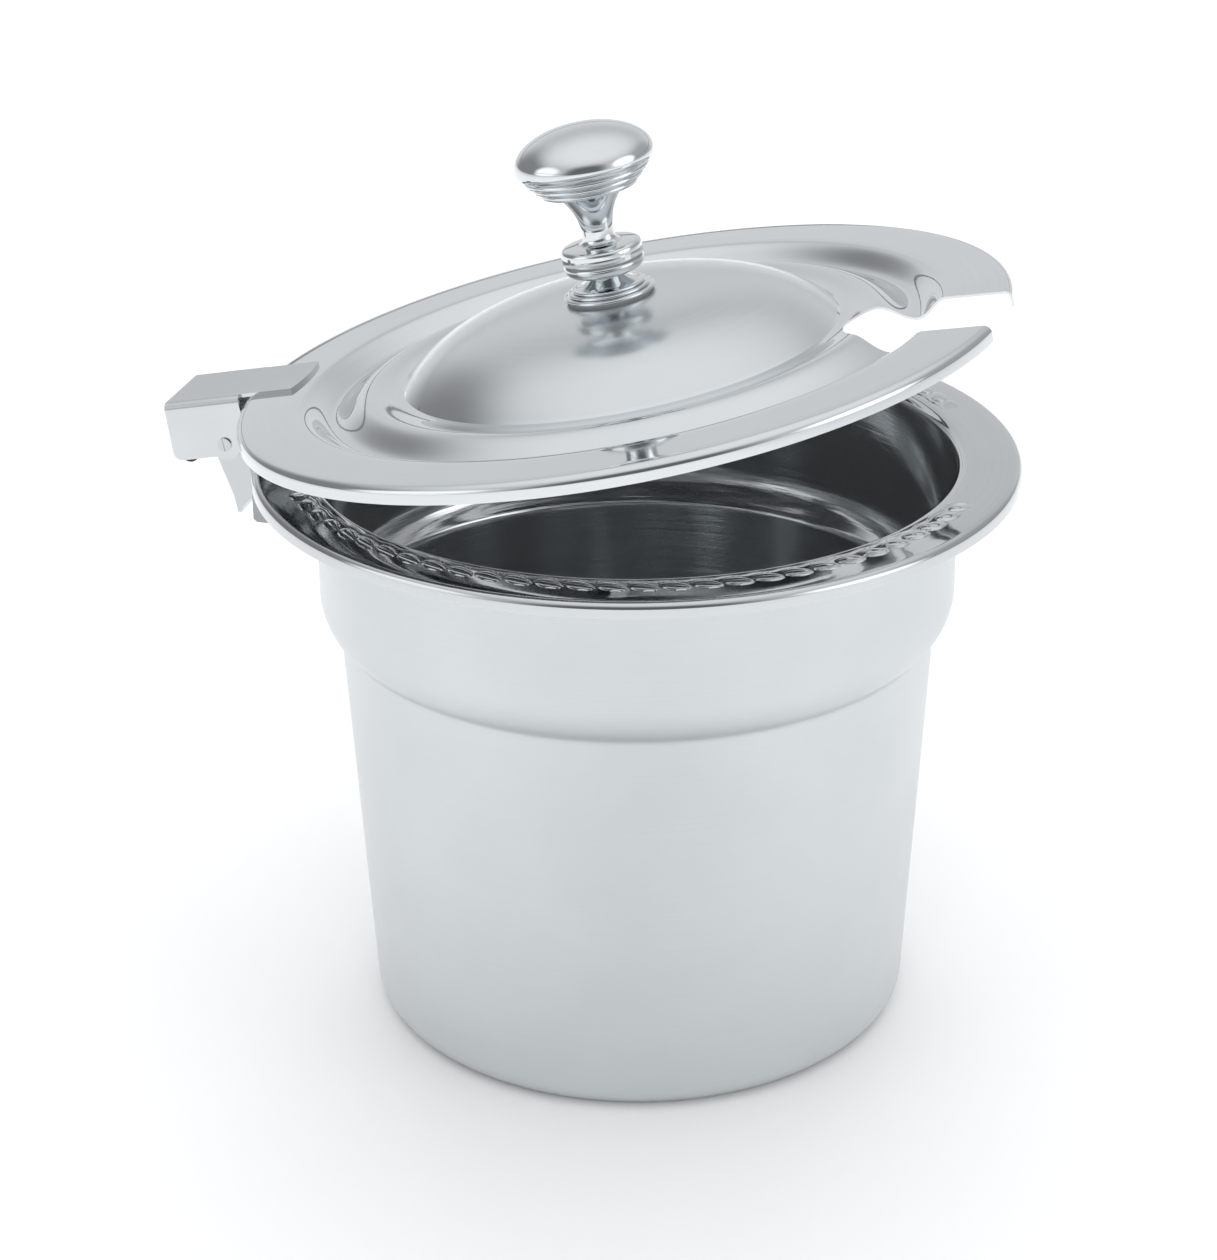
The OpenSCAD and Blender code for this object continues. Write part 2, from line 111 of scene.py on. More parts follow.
def node(tree, kind, inputs=(), **settings):
    """Adds a node; inputs are (socket, value or other socket) pairs, settings its properties."""
    made = tree.nodes.new(kind)
    for name, value in settings.items():
        setattr(made, name, value)
    for socket, value in inputs:
        if isinstance(value, bpy.types.NodeSocket):
            tree.links.new(value, made.inputs[socket])
        else:
            made.inputs[socket].default_value = value
    return made


# Floor paint is matt: it scatters the light, so shadows on it stay soft and nothing mirrors.
floor_mesh = bpy.data.meshes.new("floor")
floor_corners = FLOOR_HALF_WIDTH * np.array([(-1, -1, 0), (1, -1, 0), (1, 1, 0), (-1, 1, 0)])
floor_mesh.from_pydata(floor_corners.tolist(), [], [(0, 1, 2, 3)])
floor = bpy.data.objects.new("floor", floor_mesh)
bpy.context.scene.collection.objects.link(floor)
floor_material = bpy.data.materials.new("matt_painted_floor")
floor_material.use_nodes = True
floor_shader = floor_material.node_tree.nodes["Principled BSDF"]
floor_shader.inputs["Base Color"].default_value = linear(floor_paint)
floor_shader.inputs["Roughness"].default_value = 0.7
floor_shader.inputs["Specular IOR Level"].default_value = 0.2
floor_mesh.materials.append(floor_material)

world = bpy.data.worlds.new("light_tent")
bpy.context.scene.world = world
world.use_nodes = True
tent = world.node_tree
from_camera = hinge_bearing - math.pi / 2
skyward = node(tent, "ShaderNodeTexCoord").outputs["Generated"]
way = node(tent, "ShaderNodeVectorRotate", [(0, skyward), (3, from_camera)],
           rotation_type="Z_AXIS").outputs[0]
height = node(tent, "ShaderNodeSeparateXYZ", [(0, way)]).outputs["Z"]
level = node(tent, "ShaderNodeMapRange",
             [(0, height), (1, wall_fade_low), (2, wall_fade_high), (3, wall_low), (4, wall_high)],
             interpolation_type="SMOOTHSTEP").outputs[0]
for panel_way, light, inner, outer in tent_panels:
    towards = node(tent, "ShaderNodeVectorMath", [(0, way), (1, panel_way)],
                   operation="DOT_PRODUCT").outputs["Value"]
    level = node(tent, "ShaderNodeMapRange",
                 [(0, towards), (1, outer), (2, inner), (3, level), (4, light)],
                 interpolation_type="SMOOTHSTEP").outputs[0]
level = node(tent, "ShaderNodeMapRange",
             [(0, height), (1, roof_low), (2, roof_high), (3, level), (4, roof)],
             interpolation_type="SMOOTHSTEP").outputs[0]
off_seam = node(tent, "ShaderNodeMath", [(0, height), (1, seam_height)], operation="SUBTRACT").outputs[0]
off_seam = node(tent, "ShaderNodeMath", [(0, off_seam)], operation="ABSOLUTE").outputs[0]
level = node(tent, "ShaderNodeMapRange",
             [(0, off_seam), (1, seam_half * SEAM_SOFTNESS), (2, seam_half), (3, seam_dark), (4, level)],
             interpolation_type="SMOOTHSTEP").outputs[0]
background = tent.nodes["Background"]
background.inputs["Color"].default_value = linear(tent_paint)
tent.links.new(level, background.inputs["Strength"])


def add_lamp(name, place, aim, wide, tall, power):
    """An area light, unseen in mirrors, in the camera's own bearings, aimed at a height on the axis."""
    data = bpy.data.lights.new(name, "AREA")
    data.shape = "RECTANGLE"
    data.size, data.size_y, data.energy = wide, tall, power
    lamp = bpy.data.objects.new(name, data)
    spot = Matrix.Rotation(-from_camera, 3, "Z") @ Vector(place)
    facing = (spot - Vector((0, 0, aim))).to_track_quat("Z", "Y")
    lamp.matrix_world = Matrix.Translation(spot) @ facing.to_matrix().to_4x4()
    lamp.visible_glossy = False
    bpy.context.scene.collection.objects.link(lamp)


for lamp_values in lamps:
    add_lamp(*lamp_values)

# ---- Kettle body -------------------------------------------------------------
# Deep drawn from one disc of 18/8 stainless steel 1 mm thick: satin outside, the
# rim and the inside polished, and a lobed border pressed up into the flat of the rim.

band_r, kettle_h, rim_r, kettle_t = 106.5, 198.5, 127.0, 1.0
shoulder_z, shoulder_r, shoulder_turn = 153.5, 18.0, 45.0
wall_draft, base_corner_r, crease_r = 3.2, 9.0, 4.0
mouth_bend_r, rim_bend_r, rim_lip_h = 3.0, 2.5, 5.0
border_r, border_half_width, border_rise = 114.2, 3.9, 0.9
border_lobes = 76
border_sink = 0.06
border_gap_bearing, border_gap_half, border_gap_fade = -80.0, 22.0, 3
oval_lean, oval_length, oval_width, oval_shift, oval_fullness = 0.22, 1.04, 1.25, 0.2, 0.55
bead_shift, bead_wave, bead_half_width, bead_share = 0.82, 0.08, 0.17, 0.55
RIM_ROWS_BELOW, RIM_ROWS_ABOVE = 6, 18
KETTLE_SEGMENTS = 528
BORDER_COLUMNS_PER_LOBE = 22


def arc(centre_r, centre_z, radius, start, end, steps):
    """Points of a circle's arc in the r-z plane, between two angles in degrees."""
    angle = np.radians(np.linspace(start, end, steps + 1))
    return np.stack([centre_r + radius * np.cos(angle), centre_z + radius * np.sin(angle)], 1)


def straight(start, end, steps):
    """Evenly spaced points of a straight run, both ends included."""
    return np.linspace(start, end, steps + 1)


def joined(*runs):
    """The runs one after another, with repeated points left out."""
    path = np.concatenate([np.atleast_2d(run) for run in runs])
    keep = np.ones(len(path), bool)
    keep[1:] = np.hypot(*(path[1:] - path[:-1]).T) > 1e-4
    return path[keep]


def moved_left(path, distance):
    """The path moved sideways to its left, square to the run through each point's neighbours."""
    run = np.gradient(path, axis=0)
    run /= np.hypot(run[:, 0], run[:, 1])[:, None]
    return path + distance * np.stack([-run[:, 1], run[:, 0]], 1)


def turned(path, segments, relief=None):
    """A closed outline in r and z (mm) carried round the Z axis: x = r cos a, y = r sin a.
    Relief adds to z as a function of r, z and a. Points on the axis become single poles."""
    bearing = np.arange(segments) * 2 * np.pi / segments
    r, a = np.meshgrid(path[:, 0], bearing, indexing="ij")
    z = np.repeat(path[:, 1:], segments, 1)
    if relief is not None:
        z = z + relief(r, z, a)
    verts = np.stack([r * np.cos(a), r * np.sin(a), z], -1).reshape(-1, 3)
    here = np.arange(len(path))
    after = np.roll(here, -1)
    column = np.arange(segments)
    beside = np.roll(column, -1)
    i, j = here[:, None] * segments, after[:, None] * segments
    quads = np.stack([i + column, i + beside, j + beside, j + column], -1)
    return verts, quads.reshape(-1, 4), np.repeat(here, segments)


def add_piece(name, verts, faces, materials, face_slots=None, sharp_above=38):
    """Makes the mesh object: merges doubled points, smooths it and keeps folds over an angle sharp."""
    mesh = bpy.data.meshes.new(name)
    mesh.from_pydata((verts * MM).tolist(), [], faces.tolist())
    for material in materials:
        mesh.materials.append(material)
    if face_slots is not None:
        mesh.polygons.foreach_set("material_index", face_slots.astype(np.int32))
    clean = bmesh.new()
    clean.from_mesh(mesh)
    bmesh.ops.remove_doubles(clean, verts=clean.verts, dist=1e-6)
    bmesh.ops.dissolve_degenerate(clean, edges=clean.edges, dist=1e-7)
    clean.to_mesh(mesh)
    clean.free()
    mesh.shade_smooth()
    mesh.set_sharp_from_angle(angle=math.radians(sharp_above))
    piece = bpy.data.objects.new(name, mesh)
    bpy.context.scene.collection.objects.link(piece)
    return piece


def steel_material(name, colour, roughness, spread, ring_mm, ring_depth_mm, lid_side=False,
                   patch_mm=45, straight_lines=False, darkening="c9cdd0", metallic=1.0):
    """Stainless steel worked on a lathe or a belt. Fine grooves ring_mm apart follow the turning, or
    run straight along Y, and roughness and tone drift over patches patch_mm wide, where it was wiped.
    On the lid the pattern is laid out as if the lid lay shut, so that its rings stay round."""
    flat_share = 0.7  # grooves are counted up z plus this share of the radius, so flat faces have them
    drift_along, drift_round = 40.0, 12  # how often a groove changes, per metre along or round it
    groove_detail, patch_detail = 0.65, 0.55
    streak_share = 0.12  # how much of the tone the grooves carry
    worn_low, worn_high = 0.12, 0.42  # the product of both noises that gives least and most roughness
    material = bpy.data.materials.new(name)
    material.use_nodes = True
    tree = material.node_tree
    shader = tree.nodes["Principled BSDF"]
    place = node(tree, "ShaderNodeTexCoord").outputs["Object"]
    if lid_side:
        place = node(tree, "ShaderNodeVectorMath",
                     [(0, place), (1, (0, -pin_y * MM, -pin_z * MM))]).outputs[0]
        place = node(tree, "ShaderNodeVectorRotate", [(0, place), (3, math.radians(lid_open))],
                     rotation_type="X_AXIS").outputs[0]
        place = node(tree, "ShaderNodeVectorMath",
                     [(0, place), (1, (0, pin_y * MM, pin_z * MM))]).outputs[0]
    x, y, z = node(tree, "ShaderNodeSeparateXYZ", [(0, place)]).outputs
    if straight_lines:
        outward = x
        slow = node(tree, "ShaderNodeMath", [(0, y), (1, drift_along)], operation="MULTIPLY").outputs[0]
        groove_place = node(tree, "ShaderNodeCombineXYZ", [(0, slow)]).outputs[0]
    else:
        flat = node(tree, "ShaderNodeCombineXYZ", [(0, x), (1, y)]).outputs[0]
        outward = node(tree, "ShaderNodeVectorMath", [(0, flat)], operation="LENGTH").outputs["Value"]
        groove_place = node(tree, "ShaderNodeVectorMath",
                            [(0, flat), (1, (drift_round, drift_round, drift_round))],
                            operation="MULTIPLY").outputs[0]
    across = node(tree, "ShaderNodeMath", [(0, outward), (1, flat_share), (2, z)],
                  operation="MULTIPLY_ADD").outputs[0]
    fine = node(tree, "ShaderNodeMath", [(0, across), (1, 1 / (ring_mm * MM))],
                operation="MULTIPLY").outputs[0]
    lift = node(tree, "ShaderNodeCombineXYZ", [(2, fine)]).outputs[0]
    grooves_at = node(tree, "ShaderNodeVectorMath", [(0, groove_place), (1, lift)]).outputs[0]
    grooves = node(tree, "ShaderNodeTexNoise",
                   [("Vector", grooves_at), ("Scale", 1.0), ("Detail", 3.0),
                    ("Roughness", groove_detail)]).outputs[0]
    patches = node(tree, "ShaderNodeTexNoise",
                   [("Vector", place), ("Scale", 1000 / patch_mm), ("Detail", 3.0),
                    ("Roughness", patch_detail)]).outputs[0]
    tone = node(tree, "ShaderNodeMix", [(0, patches), (6, linear(colour)), (7, linear(darkening))],
                data_type="RGBA").outputs[2]
    streaked = node(tree, "ShaderNodeMix", [(0, streak_share), (6, tone), (7, grooves)],
                    data_type="RGBA", blend_type="SOFT_LIGHT").outputs[2]
    worn = node(tree, "ShaderNodeMath", [(0, grooves), (1, patches)], operation="MULTIPLY").outputs[0]
    rough = node(tree, "ShaderNodeMapRange",
                 [(0, worn), (1, worn_low), (2, worn_high),
                  (3, roughness - spread), (4, roughness + spread)]).outputs[0]
    bump = node(tree, "ShaderNodeBump", [("Height", grooves), ("Distance", ring_depth_mm * MM)]).outputs[0]
    tree.links.new(streaked, shader.inputs["Base Color"])
    tree.links.new(rough, shader.inputs["Roughness"])
    tree.links.new(bump, shader.inputs["Normal"])
    shader.inputs["Metallic"].default_value = metallic
    return material


# The hinge pin's place and the angle at which the lid stands open, needed by the lid's finishes.
pin_y, pin_z, lid_open = 138.5, 195.0, 10.6

# 18/8 stainless brushed with a fine belt as it turned: a soft grey sheen with faint level lines.
# A belt's lines are about 0.05 mm apart, too fine to show, and are drawn 0.45 mm apart.
satin_steel = steel_material("satin_stainless", "d4d8da", 0.33, 0.05, 0.45, 0.008, darkening="cdd1d3")
# The same steel buffed with a mop: a clear mirror that wavers a little. A mop's marks are some
# hundredths of a millimetre apart, and are drawn 0.6 mm apart and almost without depth.
polished_rim = steel_material("polished_stainless_rim", "d4d7d8", 0.055, 0.02, 0.6, 0.0006,
                              darkening="cccfd1")
# Polished inside after drawing: the tool's rings, 2.4 mm apart, still ripple the reflections. It
# is kept a little under fully metallic, so the deep inside doesn't go black.
polished_inside = steel_material("polished_stainless_inside", "dee1e3", 0.10, 0.04, 2.4, 0.09,
                                 darkening="d2d5d7", metallic=0.84)

shoulder_end = (band_r - shoulder_r + shoulder_r * math.cos(math.radians(shoulder_turn)),
                shoulder_z - shoulder_r * math.sin(math.radians(shoulder_turn)))
crease_centre = (shoulder_end[0] + crease_r * math.cos(math.radians(shoulder_turn)),
                 shoulder_end[1] - crease_r * math.sin(math.radians(shoulder_turn)))
draft = math.radians(wall_draft)
wall_top_r = crease_centre[0] - crease_r * math.cos(draft)
wall_top_z = crease_centre[1] + crease_r * math.sin(draft)
base_edge_r = wall_top_r - wall_top_z * math.tan(draft)
corner_r = base_edge_r + base_corner_r * math.tan(draft) - base_corner_r / math.cos(draft)
outer_corner = arc(corner_r, base_corner_r, base_corner_r, -90, -wall_draft, 8)
outer_crease = arc(*crease_centre, crease_r, 180 - wall_draft, 180 - shoulder_turn, 5)
outer_shoulder = arc(band_r - shoulder_r, shoulder_z, shoulder_r, -shoulder_turn, 0, 8)
under_rim_z = kettle_h - kettle_t
outer_path = joined(
    straight((0.0, 0.0), (corner_r, 0.0), 2),
    outer_corner,
    straight(outer_corner[-1], outer_crease[0], 2),
    outer_crease,
    outer_shoulder,
    straight(outer_shoulder[-1], (band_r, under_rim_z - mouth_bend_r), 1),
    arc(band_r + mouth_bend_r, under_rim_z - mouth_bend_r, mouth_bend_r, 180, 90, 6),
    straight((band_r + mouth_bend_r, under_rim_z), (rim_r - rim_bend_r, under_rim_z), 1),
    arc(rim_r - rim_bend_r, kettle_h - rim_bend_r, rim_bend_r - kettle_t, 90, 0, 4),
    straight((rim_r - kettle_t, kettle_h - rim_bend_r), (rim_r - kettle_t, kettle_h - rim_lip_h), 1))
inner_path = joined(
    straight((rim_r, kettle_h - rim_lip_h), (rim_r, kettle_h - rim_bend_r), 1),
    arc(rim_r - rim_bend_r, kettle_h - rim_bend_r, rim_bend_r, 0, 90, 8),
    straight((rim_r - rim_bend_r, kettle_h), (band_r + mouth_bend_r, kettle_h), 4),
    arc(band_r + mouth_bend_r, under_rim_z - mouth_bend_r, mouth_bend_r + kettle_t, 90, 180, 8),
    straight((band_r - kettle_t, under_rim_z - mouth_bend_r), (band_r - kettle_t, shoulder_z), 1),
    arc(band_r - shoulder_r, shoulder_z, shoulder_r - kettle_t, 0, -shoulder_turn, 8),
    arc(*crease_centre, crease_r + kettle_t, 180 - shoulder_turn, 180 - wall_draft, 5),
    arc(corner_r, base_corner_r, base_corner_r - kettle_t, -wall_draft, -90, 8),
    straight((corner_r, kettle_t), (0.0, kettle_t), 3))

# The polish of the rim starts under its turned-down edge and ends a little inside the mouth.
kettle_loop = joined(outer_path, inner_path)
kettle_verts, kettle_faces, kettle_rows = turned(kettle_loop, KETTLE_SEGMENTS)
is_outside = np.arange(len(kettle_loop)) < len(outer_path) - RIM_ROWS_BELOW
is_inside = np.arange(len(kettle_loop)) >= len(outer_path) + RIM_ROWS_ABOVE
slot_of_row = np.where(is_outside, 0, np.where(is_inside, 2, 1))
kettle = add_piece("kettle_body_drawn", kettle_verts, kettle_faces,
                   [satin_steel, polished_rim, polished_inside], slot_of_row[kettle_rows])
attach(kettle, "kettle")
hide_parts("kettle_body")


def lobed_border(r, z, a):
    """Height of the pressed border: a ring of equal leaning ovals, each the cap of an ellipse, and
    a narrow bead beside them on the kettle's side. Two stretches of the rim are left plain."""
    outward = (r - border_r) / border_half_width
    leaned = a * border_lobes / (2 * np.pi) - oval_lean * outward
    along = (leaned - np.round(leaned)) * 2
    oval = 1 - (oval_length * along) ** 2 - (oval_width * (outward - oval_shift)) ** 2
    oval = np.clip(oval, 0, None) ** oval_fullness
    off_bead = (outward + bead_shift + bead_wave * np.cos(2 * np.pi * leaned)) / bead_half_width
    bead_line = bead_share * np.clip(1 - off_bead ** 2, 0, None) ** 0.5
    bearing = (np.degrees(a) - border_gap_bearing + 90) % 180 - 90
    fade = np.clip((np.abs(bearing) - border_gap_half) / border_gap_fade, 0, 1)
    raised = border_rise * np.maximum(oval, bead_line) * fade - border_sink
    return np.where(z > kettle_h - border_sink, raised, 0)


border_top = straight((border_r + border_half_width, kettle_h), (border_r - border_half_width, kettle_h), 26)
border_loop = joined(border_top, (border_r - border_half_width, kettle_h - kettle_t / 2),
                     (border_r + border_half_width, kettle_h - kettle_t / 2))
border_verts, border_faces, _ = turned(border_loop, border_lobes * BORDER_COLUMNS_PER_LOBE, lobed_border)
border = add_piece("rim_border_pressed", border_verts, border_faces, [polished_rim], sharp_above=60)
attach(border, "kettle")

# ---- Lid ---------------------------------------------------------------------
# Pressed from a 0.8 mm disc: a flat flange with a turned-down edge, a channel and a raised ring,
# all polished to a mirror, and a softer buffed dome. A slot for the ladle is cut in from its edge.

lid_r, lid_t, lid_edge_z, lid_lip_h = 128.3, 0.8, 204.7, 5.3
lid_bend_r, channel_depth, flange_w, channel_w = 2.6, 6.0, 21.5, 10.0
dome_r, dome_rise, dome_flatness, dome_drop, ring_w = 72.5, 17.6, 4.0, 1.2, 11.0
notch_w, notch_end_r, notch_turn = 34.0, 76.0, 4.0
stud_hole_r = 3.2
fold_angle = 38  # folds sharper than this stay crisp where the notch is cut
LID_SEGMENTS = 480
lid_top_z = lid_edge_z + lid_lip_h
channel_outer_r = lid_r - flange_w
valley_r = channel_outer_r - channel_w
crown_r = dome_r + ring_w
dome_foot_z = lid_top_z - dome_drop


def eased(start, end, steps):
    """A run between two points that leaves and arrives level, z following half a cosine."""
    s = np.linspace(0, 1, steps + 1)
    return np.stack([start[0] + (end[0] - start[0]) * s,
                     start[1] + (end[1] - start[1]) * (1 - np.cos(np.pi * s)) / 2], 1)


def dome_height(r):
    """Height of the dome: its rise less the fourth power of the distance from the axis."""
    return dome_foot_z + dome_rise * (1 - (r / dome_r) ** dome_flatness)


def opened(verts):
    """Points of the lid drawn parallel to the rim, turned up about the hinge pin."""
    angle = math.radians(lid_open)
    y, z = verts[:, 1] - pin_y, verts[:, 2] - pin_z
    turned_y = y * math.cos(angle) + z * math.sin(angle)
    turned_z = z * math.cos(angle) - y * math.sin(angle)
    return np.stack([verts[:, 0], turned_y + pin_y, turned_z + pin_z], 1)


dome_radii = np.concatenate([np.linspace(dome_r, dome_r - 6, 8), np.linspace(dome_r - 7.5, stud_hole_r, 24)])
dome_run = np.stack([dome_radii, dome_height(dome_radii)], 1)
lid_path = joined(
    straight((lid_r, lid_edge_z), (lid_r, lid_top_z - lid_bend_r), 2),
    arc(lid_r - lid_bend_r, lid_top_z - lid_bend_r, lid_bend_r, 0, 90, 10),
    straight((lid_r - lid_bend_r, lid_top_z), (channel_outer_r, lid_top_z), 6),
    eased((channel_outer_r, lid_top_z), (valley_r, lid_top_z - channel_depth), 14),
    eased((valley_r, lid_top_z - channel_depth), (crown_r, lid_top_z - 0.2), 14),
    eased((crown_r, lid_top_z - 0.2), (dome_r + 1.5, dome_foot_z), 14),
    dome_run)


def notch_outline():
    """Corners of the notch before it is turned: a half circle and two straight sides to the edge."""
    angle = np.linspace(0, np.pi, 33)
    end = np.stack([notch_w / 2 * np.cos(angle), notch_w / 2 * np.sin(angle) - notch_end_r - notch_w / 2], 1)
    return np.concatenate([end, [(-notch_w / 2, -lid_r - 10), (notch_w / 2, -lid_r - 10)]])


def cut_notch(piece):
    """Takes a prism of the notch's outline out of the lid's mesh."""
    outline = notch_outline()
    turn = -math.radians(notch_turn)
    x = outline[:, 0] * math.cos(turn) - outline[:, 1] * math.sin(turn)
    y = outline[:, 0] * math.sin(turn) + outline[:, 1] * math.cos(turn)
    layers = [np.stack([x, y, np.full(len(x), z)], 1) for z in (lid_edge_z - 8, lid_top_z + dome_rise)]
    count = np.arange(len(x))
    beside = np.roll(count, -1)
    sides = np.stack([count, beside, beside + len(x), count + len(x)], 1).tolist()
    mesh = bpy.data.meshes.new("notch_cutter")
    mesh.from_pydata((opened(np.concatenate(layers)) * MM).tolist(), [],
                     sides + [count[::-1].tolist(), (count + len(x)).tolist()])
    cutter = bpy.data.objects.new("notch_cutter", mesh)
    bpy.context.scene.collection.objects.link(cutter)
    cut = piece.modifiers.new("notch", "BOOLEAN")
    cut.operation, cut.solver, cut.object = "DIFFERENCE", "EXACT", cutter
    cut_mesh = bpy.data.meshes.new_from_object(piece.evaluated_get(bpy.context.evaluated_depsgraph_get()))
    piece.modifiers.clear()
    piece.data = cut_mesh
    cut_mesh.set_sharp_from_angle(angle=math.radians(fold_angle))
    bpy.data.objects.remove(cutter)


under_path = moved_left(lid_path, lid_t)[::-1]
under_path[0, 0] = under_path[1, 0] = stud_hole_r
under_path[0, 1] = lid_path[-1, 1] - lid_t
under_path[-1] = (lid_r - lid_t, lid_edge_z)
lid_loop = joined(lid_path, under_path[0], under_path[2:])
lid_verts, lid_faces, lid_rows = turned(lid_loop, LID_SEGMENTS)
on_dome = lid_loop[lid_rows, 0] < dome_r
lid_slots = np.where(lid_rows >= len(lid_path), 1, np.where(on_dome, 2, 0))
# The lid's top is mop buffed to a mirror like the rim, a shade lighter, with the same drawn marks.
polished_lid = steel_material("polished_stainless_lid", "dfe2e4", 0.05, 0.02, 0.6, 0.0006,
                              lid_side=True, darkening="d6dadd")
# Its underside is polished less: softer reflections, with the rings of pressing 1.8 mm apart.
polished_underside = steel_material("polished_stainless_underside", "d8dadb", 0.12, 0.04, 1.8, 0.02,
                                    lid_side=True, darkening="d0d2d3", metallic=0.9)
# The dome is buffed with a softer mop: its reflections spread into even light and dark fields.
buffed_dome = steel_material("buffed_stainless_dome", "dde0e2", 0.19, 0.03, 0.6, 0.001,
                             lid_side=True, darkening="d4d8da")
lid = add_piece("lid_pressed", opened(lid_verts), lid_faces,
                [polished_lid, polished_underside, buffed_dome], lid_slots)
cut_notch(lid)
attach(lid, "lid")
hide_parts("lid_shell")

# ---- Knob --------------------------------------------------------------------
# Three turned and polished pieces on one stud: a hollow domed cap, a stem with three
# steps, a waist and half a collar, and a stepped foot with the other half.

foot_z = dome_foot_z + dome_rise + 0.7
seam_z = foot_z + 11.1
collar_z = seam_z + 0.7
head_r, cap_h, collar_r, neck_r, waist_r, flare_r = 23.0, 11.5, 13.3, 4.6, 5.3, 11.5
collar_top_z = collar_z + 5.0
waist_z = collar_top_z + 4.0
flare_z = waist_z + 14.0
step_h = 2.3
steps_top_z = flare_z + 3 * step_h
widest_z = steps_top_z + 3.0
cap_edge_r, cap_seat_inset, seat_gap = 3.0, 2.2, 0.05
collar_foot_r, collar_round_r, waist_foot_r = 0.5, 1.6, 2.2
# Beads under the cap: how far each stands outside the flare, and by how much it bulges.
stem_beads = ((3.2, 1.6), (5.4, 1.6), (7.6, 1.5))
# Steps of the foot: how far in, how high up, how tall and how bulging each is.
foot_r = 15.0
foot_steps = ((0.7, 0.0, 1.3, 0.7), (2.1, 1.3, 1.1, 0.6), (3.5, 2.4, 1.0, 0.6))
KNOB_SEGMENTS = 160
# Turned from bar and buffed until the tool marks are gone: the brightest mirror on the kettle.
# What is left of them is drawn 0.5 mm apart, coarser than real, and nearly flat.
polished_knob = steel_material("polished_stainless_knob", "e2e5e7", 0.04, 0.015, 0.5, 0.0005,
                               lid_side=True, patch_mm=12, darkening="dadee1")


def power_run(r0, z0, r1, z1, power, steps):
    """A run whose radius changes as a power of the share of its height."""
    s = np.linspace(0, 1, steps + 1)
    return np.stack([r0 + (r1 - r0) * s ** power, z0 + (z1 - z0) * s], 1)


def bead(r, z, height, bulge, steps=6):
    """A half-round bead standing out from radius r, from z up by height."""
    angle = np.linspace(-np.pi / 2, np.pi / 2, steps + 1)
    return np.stack([r + bulge * np.cos(angle), z + height / 2 * (1 + np.sin(angle))], 1)


cap_rise = np.radians(np.linspace(3, 90, 30))
cap_outside = joined(
    arc(head_r - cap_edge_r, widest_z, cap_edge_r, -62, 0, 8),
    np.stack([head_r * np.cos(cap_rise), widest_z + cap_h * np.sin(cap_rise)], 1))
cap_loop = joined((0.0, steps_top_z + seat_gap), (head_r - cap_seat_inset, steps_top_z + seat_gap),
                  cap_outside)
cap_loop[-1, 0] = 0
stem_loop = joined(
    (0.0, collar_z), (collar_r - collar_foot_r, collar_z),
    arc(collar_r - collar_foot_r, collar_z + collar_foot_r, collar_foot_r, -90, 0, 4),
    arc(collar_r - collar_round_r, collar_top_z - collar_round_r, collar_round_r, 0, 80, 8),
    straight((collar_r - 1.9, collar_top_z + 0.05), (waist_r + 2.4, collar_top_z + 0.3), 2),
    arc(waist_r + waist_foot_r, collar_top_z + 2.5, waist_foot_r, 270, 180, 8),
    power_run(waist_r, waist_z, flare_r, flare_z, 2.2, 22),
    *[bead(flare_r + out, flare_z + turn * step_h, step_h, bulge)
      for turn, (out, bulge) in enumerate(stem_beads)],
    (0.0, steps_top_z))
foot_loop = joined(
    (0.0, foot_z), (foot_r - foot_steps[0][0], foot_z),
    *[bead(foot_r - inset, foot_z + up, tall, bulge) for inset, up, tall, bulge in foot_steps],
    (foot_r - 4.0, foot_z + 3.4),
    power_run(foot_r - 4.4, foot_z + 3.4, neck_r, foot_z + 7.2, 0.55, 12),
    arc(collar_r - 3.4, seam_z - 0.4, 3.3, -75, 0, 10),
    (collar_r - 0.4, seam_z), (0.0, seam_z))
for name, loop, node_name in (("knob_cap_turned", cap_loop, "knob_cap"),
                              ("knob_stem_turned", stem_loop, "knob_stem"),
                              ("knob_foot_turned", foot_loop, "knob_foot")):
    verts, faces, _ = turned(loop, KNOB_SEGMENTS)
    piece = add_piece(name, opened(verts), faces, [polished_knob], sharp_above=45)
    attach(piece, "lid")
    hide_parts(node_name)

# ---- Hinge and small parts ---------------------------------------------------
# The hood on the lid and the clip on the rim are folded from strip and belt polished along
# their length. A pin joins them, and a jaw, screws, washers and a bumper complete the hinge.

# Belt polishing leaves straight lines about 0.05 mm apart, drawn 0.5 mm apart: a bright, slightly
# blurred mirror on the hood, and a duller one on the clip, where folding roughened it.
hood_steel = steel_material("belt_polished_hood", "d6d9db", 0.17, 0.05, 0.5, 0.002, lid_side=True,
                            straight_lines=True, patch_mm=20, darkening="cacdd0")
clip_steel = steel_material("belt_polished_clip", "c6c9cb", 0.18, 0.05, 0.5, 0.002,
                            straight_lines=True, patch_mm=15, darkening="c6cacd")
# The jaw and the screws are only tumbled with stones: rough, with no clear reflection. Their dark grey, and
# the darker patches in it, are painted shade, standing in for the shadow that falls on them under the rim.
jaw_steel_painted_shade = steel_material("tumbled_jaw_screw_steel_painted_shade", "a9adb0", 0.30, 0.08, 0.5, 0.004,
                           straight_lines=True, patch_mm=10, darkening="8f9396")
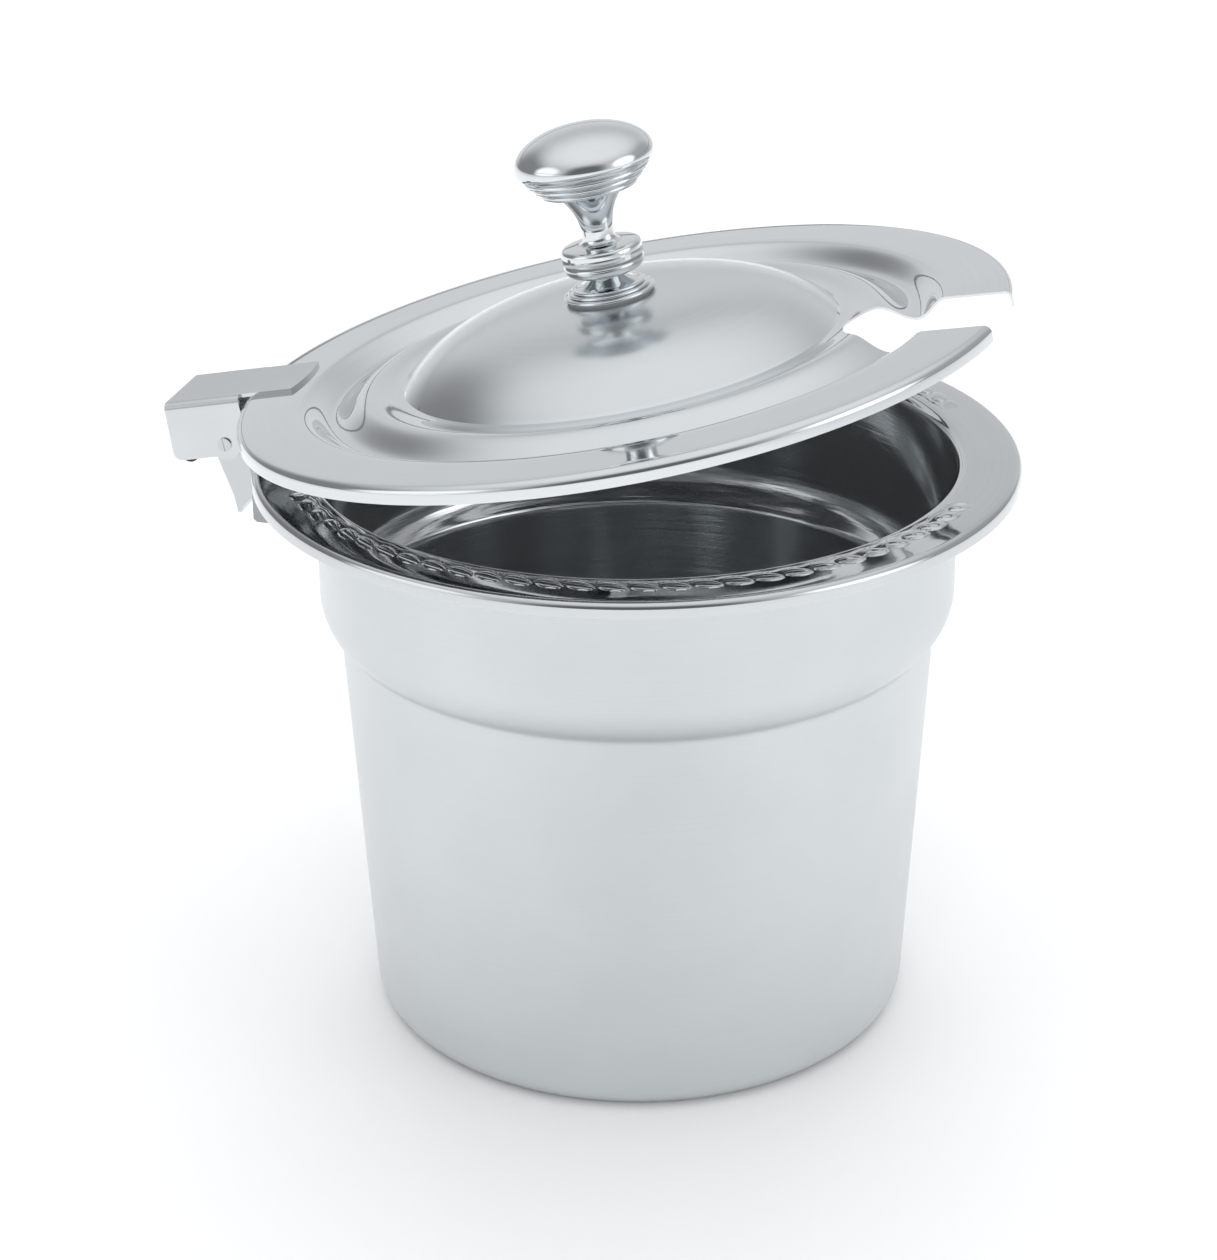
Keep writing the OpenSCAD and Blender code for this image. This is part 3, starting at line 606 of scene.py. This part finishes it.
# Pins and washers come bright from the bar: a narrow highlight with rings of turning in it.
pin_steel = steel_material("turned_pin_steel", "ced1d3", 0.16, 0.05, 0.3, 0.002, patch_mm=5,
                           darkening="bcc0c3")


def dull_material(name, colour, dark_colour, roughness, grain_mm, grain_depth_mm):
    """Moulded rubber or pressed fibre: a matt skin whose grain sets its tone, gloss and relief."""
    roughness_drift = 0.1
    material = bpy.data.materials.new(name)
    material.use_nodes = True
    tree = material.node_tree
    shader = tree.nodes["Principled BSDF"]
    place = node(tree, "ShaderNodeTexCoord").outputs["Object"]
    grain = node(tree, "ShaderNodeTexNoise",
                 [("Vector", place), ("Scale", 1000 / grain_mm), ("Detail", 4.0)]).outputs[0]
    tone = node(tree, "ShaderNodeMix", [(0, grain), (6, linear(dark_colour)), (7, linear(colour))],
                data_type="RGBA").outputs[2]
    rough = node(tree, "ShaderNodeMapRange",
                 [(0, grain), (3, roughness - roughness_drift), (4, roughness + roughness_drift)]).outputs[0]
    bump = node(tree, "ShaderNodeBump", [("Height", grain), ("Distance", grain_depth_mm * MM)]).outputs[0]
    tree.links.new(tone, shader.inputs["Base Color"])
    tree.links.new(rough, shader.inputs["Roughness"])
    tree.links.new(bump, shader.inputs["Normal"])
    return material


# Moulded rubber: nearly black and matt, with a moulded grain drawn 1.2 mm wide to show.
black_rubber = dull_material("moulded_rubber", "3a3b3c", "242526", 0.6, 1.2, 0.03)
# Pressed fibre, as gaskets are cut from: light grey and dry, with fibres drawn 0.8 mm wide.
grey_fibre = dull_material("pressed_fibre", "a9abab", "8f9292", 0.6, 0.8, 0.03)
finishes = {
    hood_steel: ("hinge_hood",),
    clip_steel: ("rim_clip", "hinge_sleeve"),
    # The jaw and the screws take the steel whose dark grey is painted shade.
    jaw_steel_painted_shade: ("clip_jaw", "clip_screws"),
    pin_steel: ("hinge_pin", "pin_retainer", "hinge_washers", "stop_rod", "knob_stud", "knob_washer",
                "knob_nut"),
    black_rubber: ("stop_bumper",),
    grey_fibre: ("knob_seam_ring", "knob_gasket")}
for material, names in finishes.items():
    for name in names:
        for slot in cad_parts[name].material_slots:
            slot.material = material
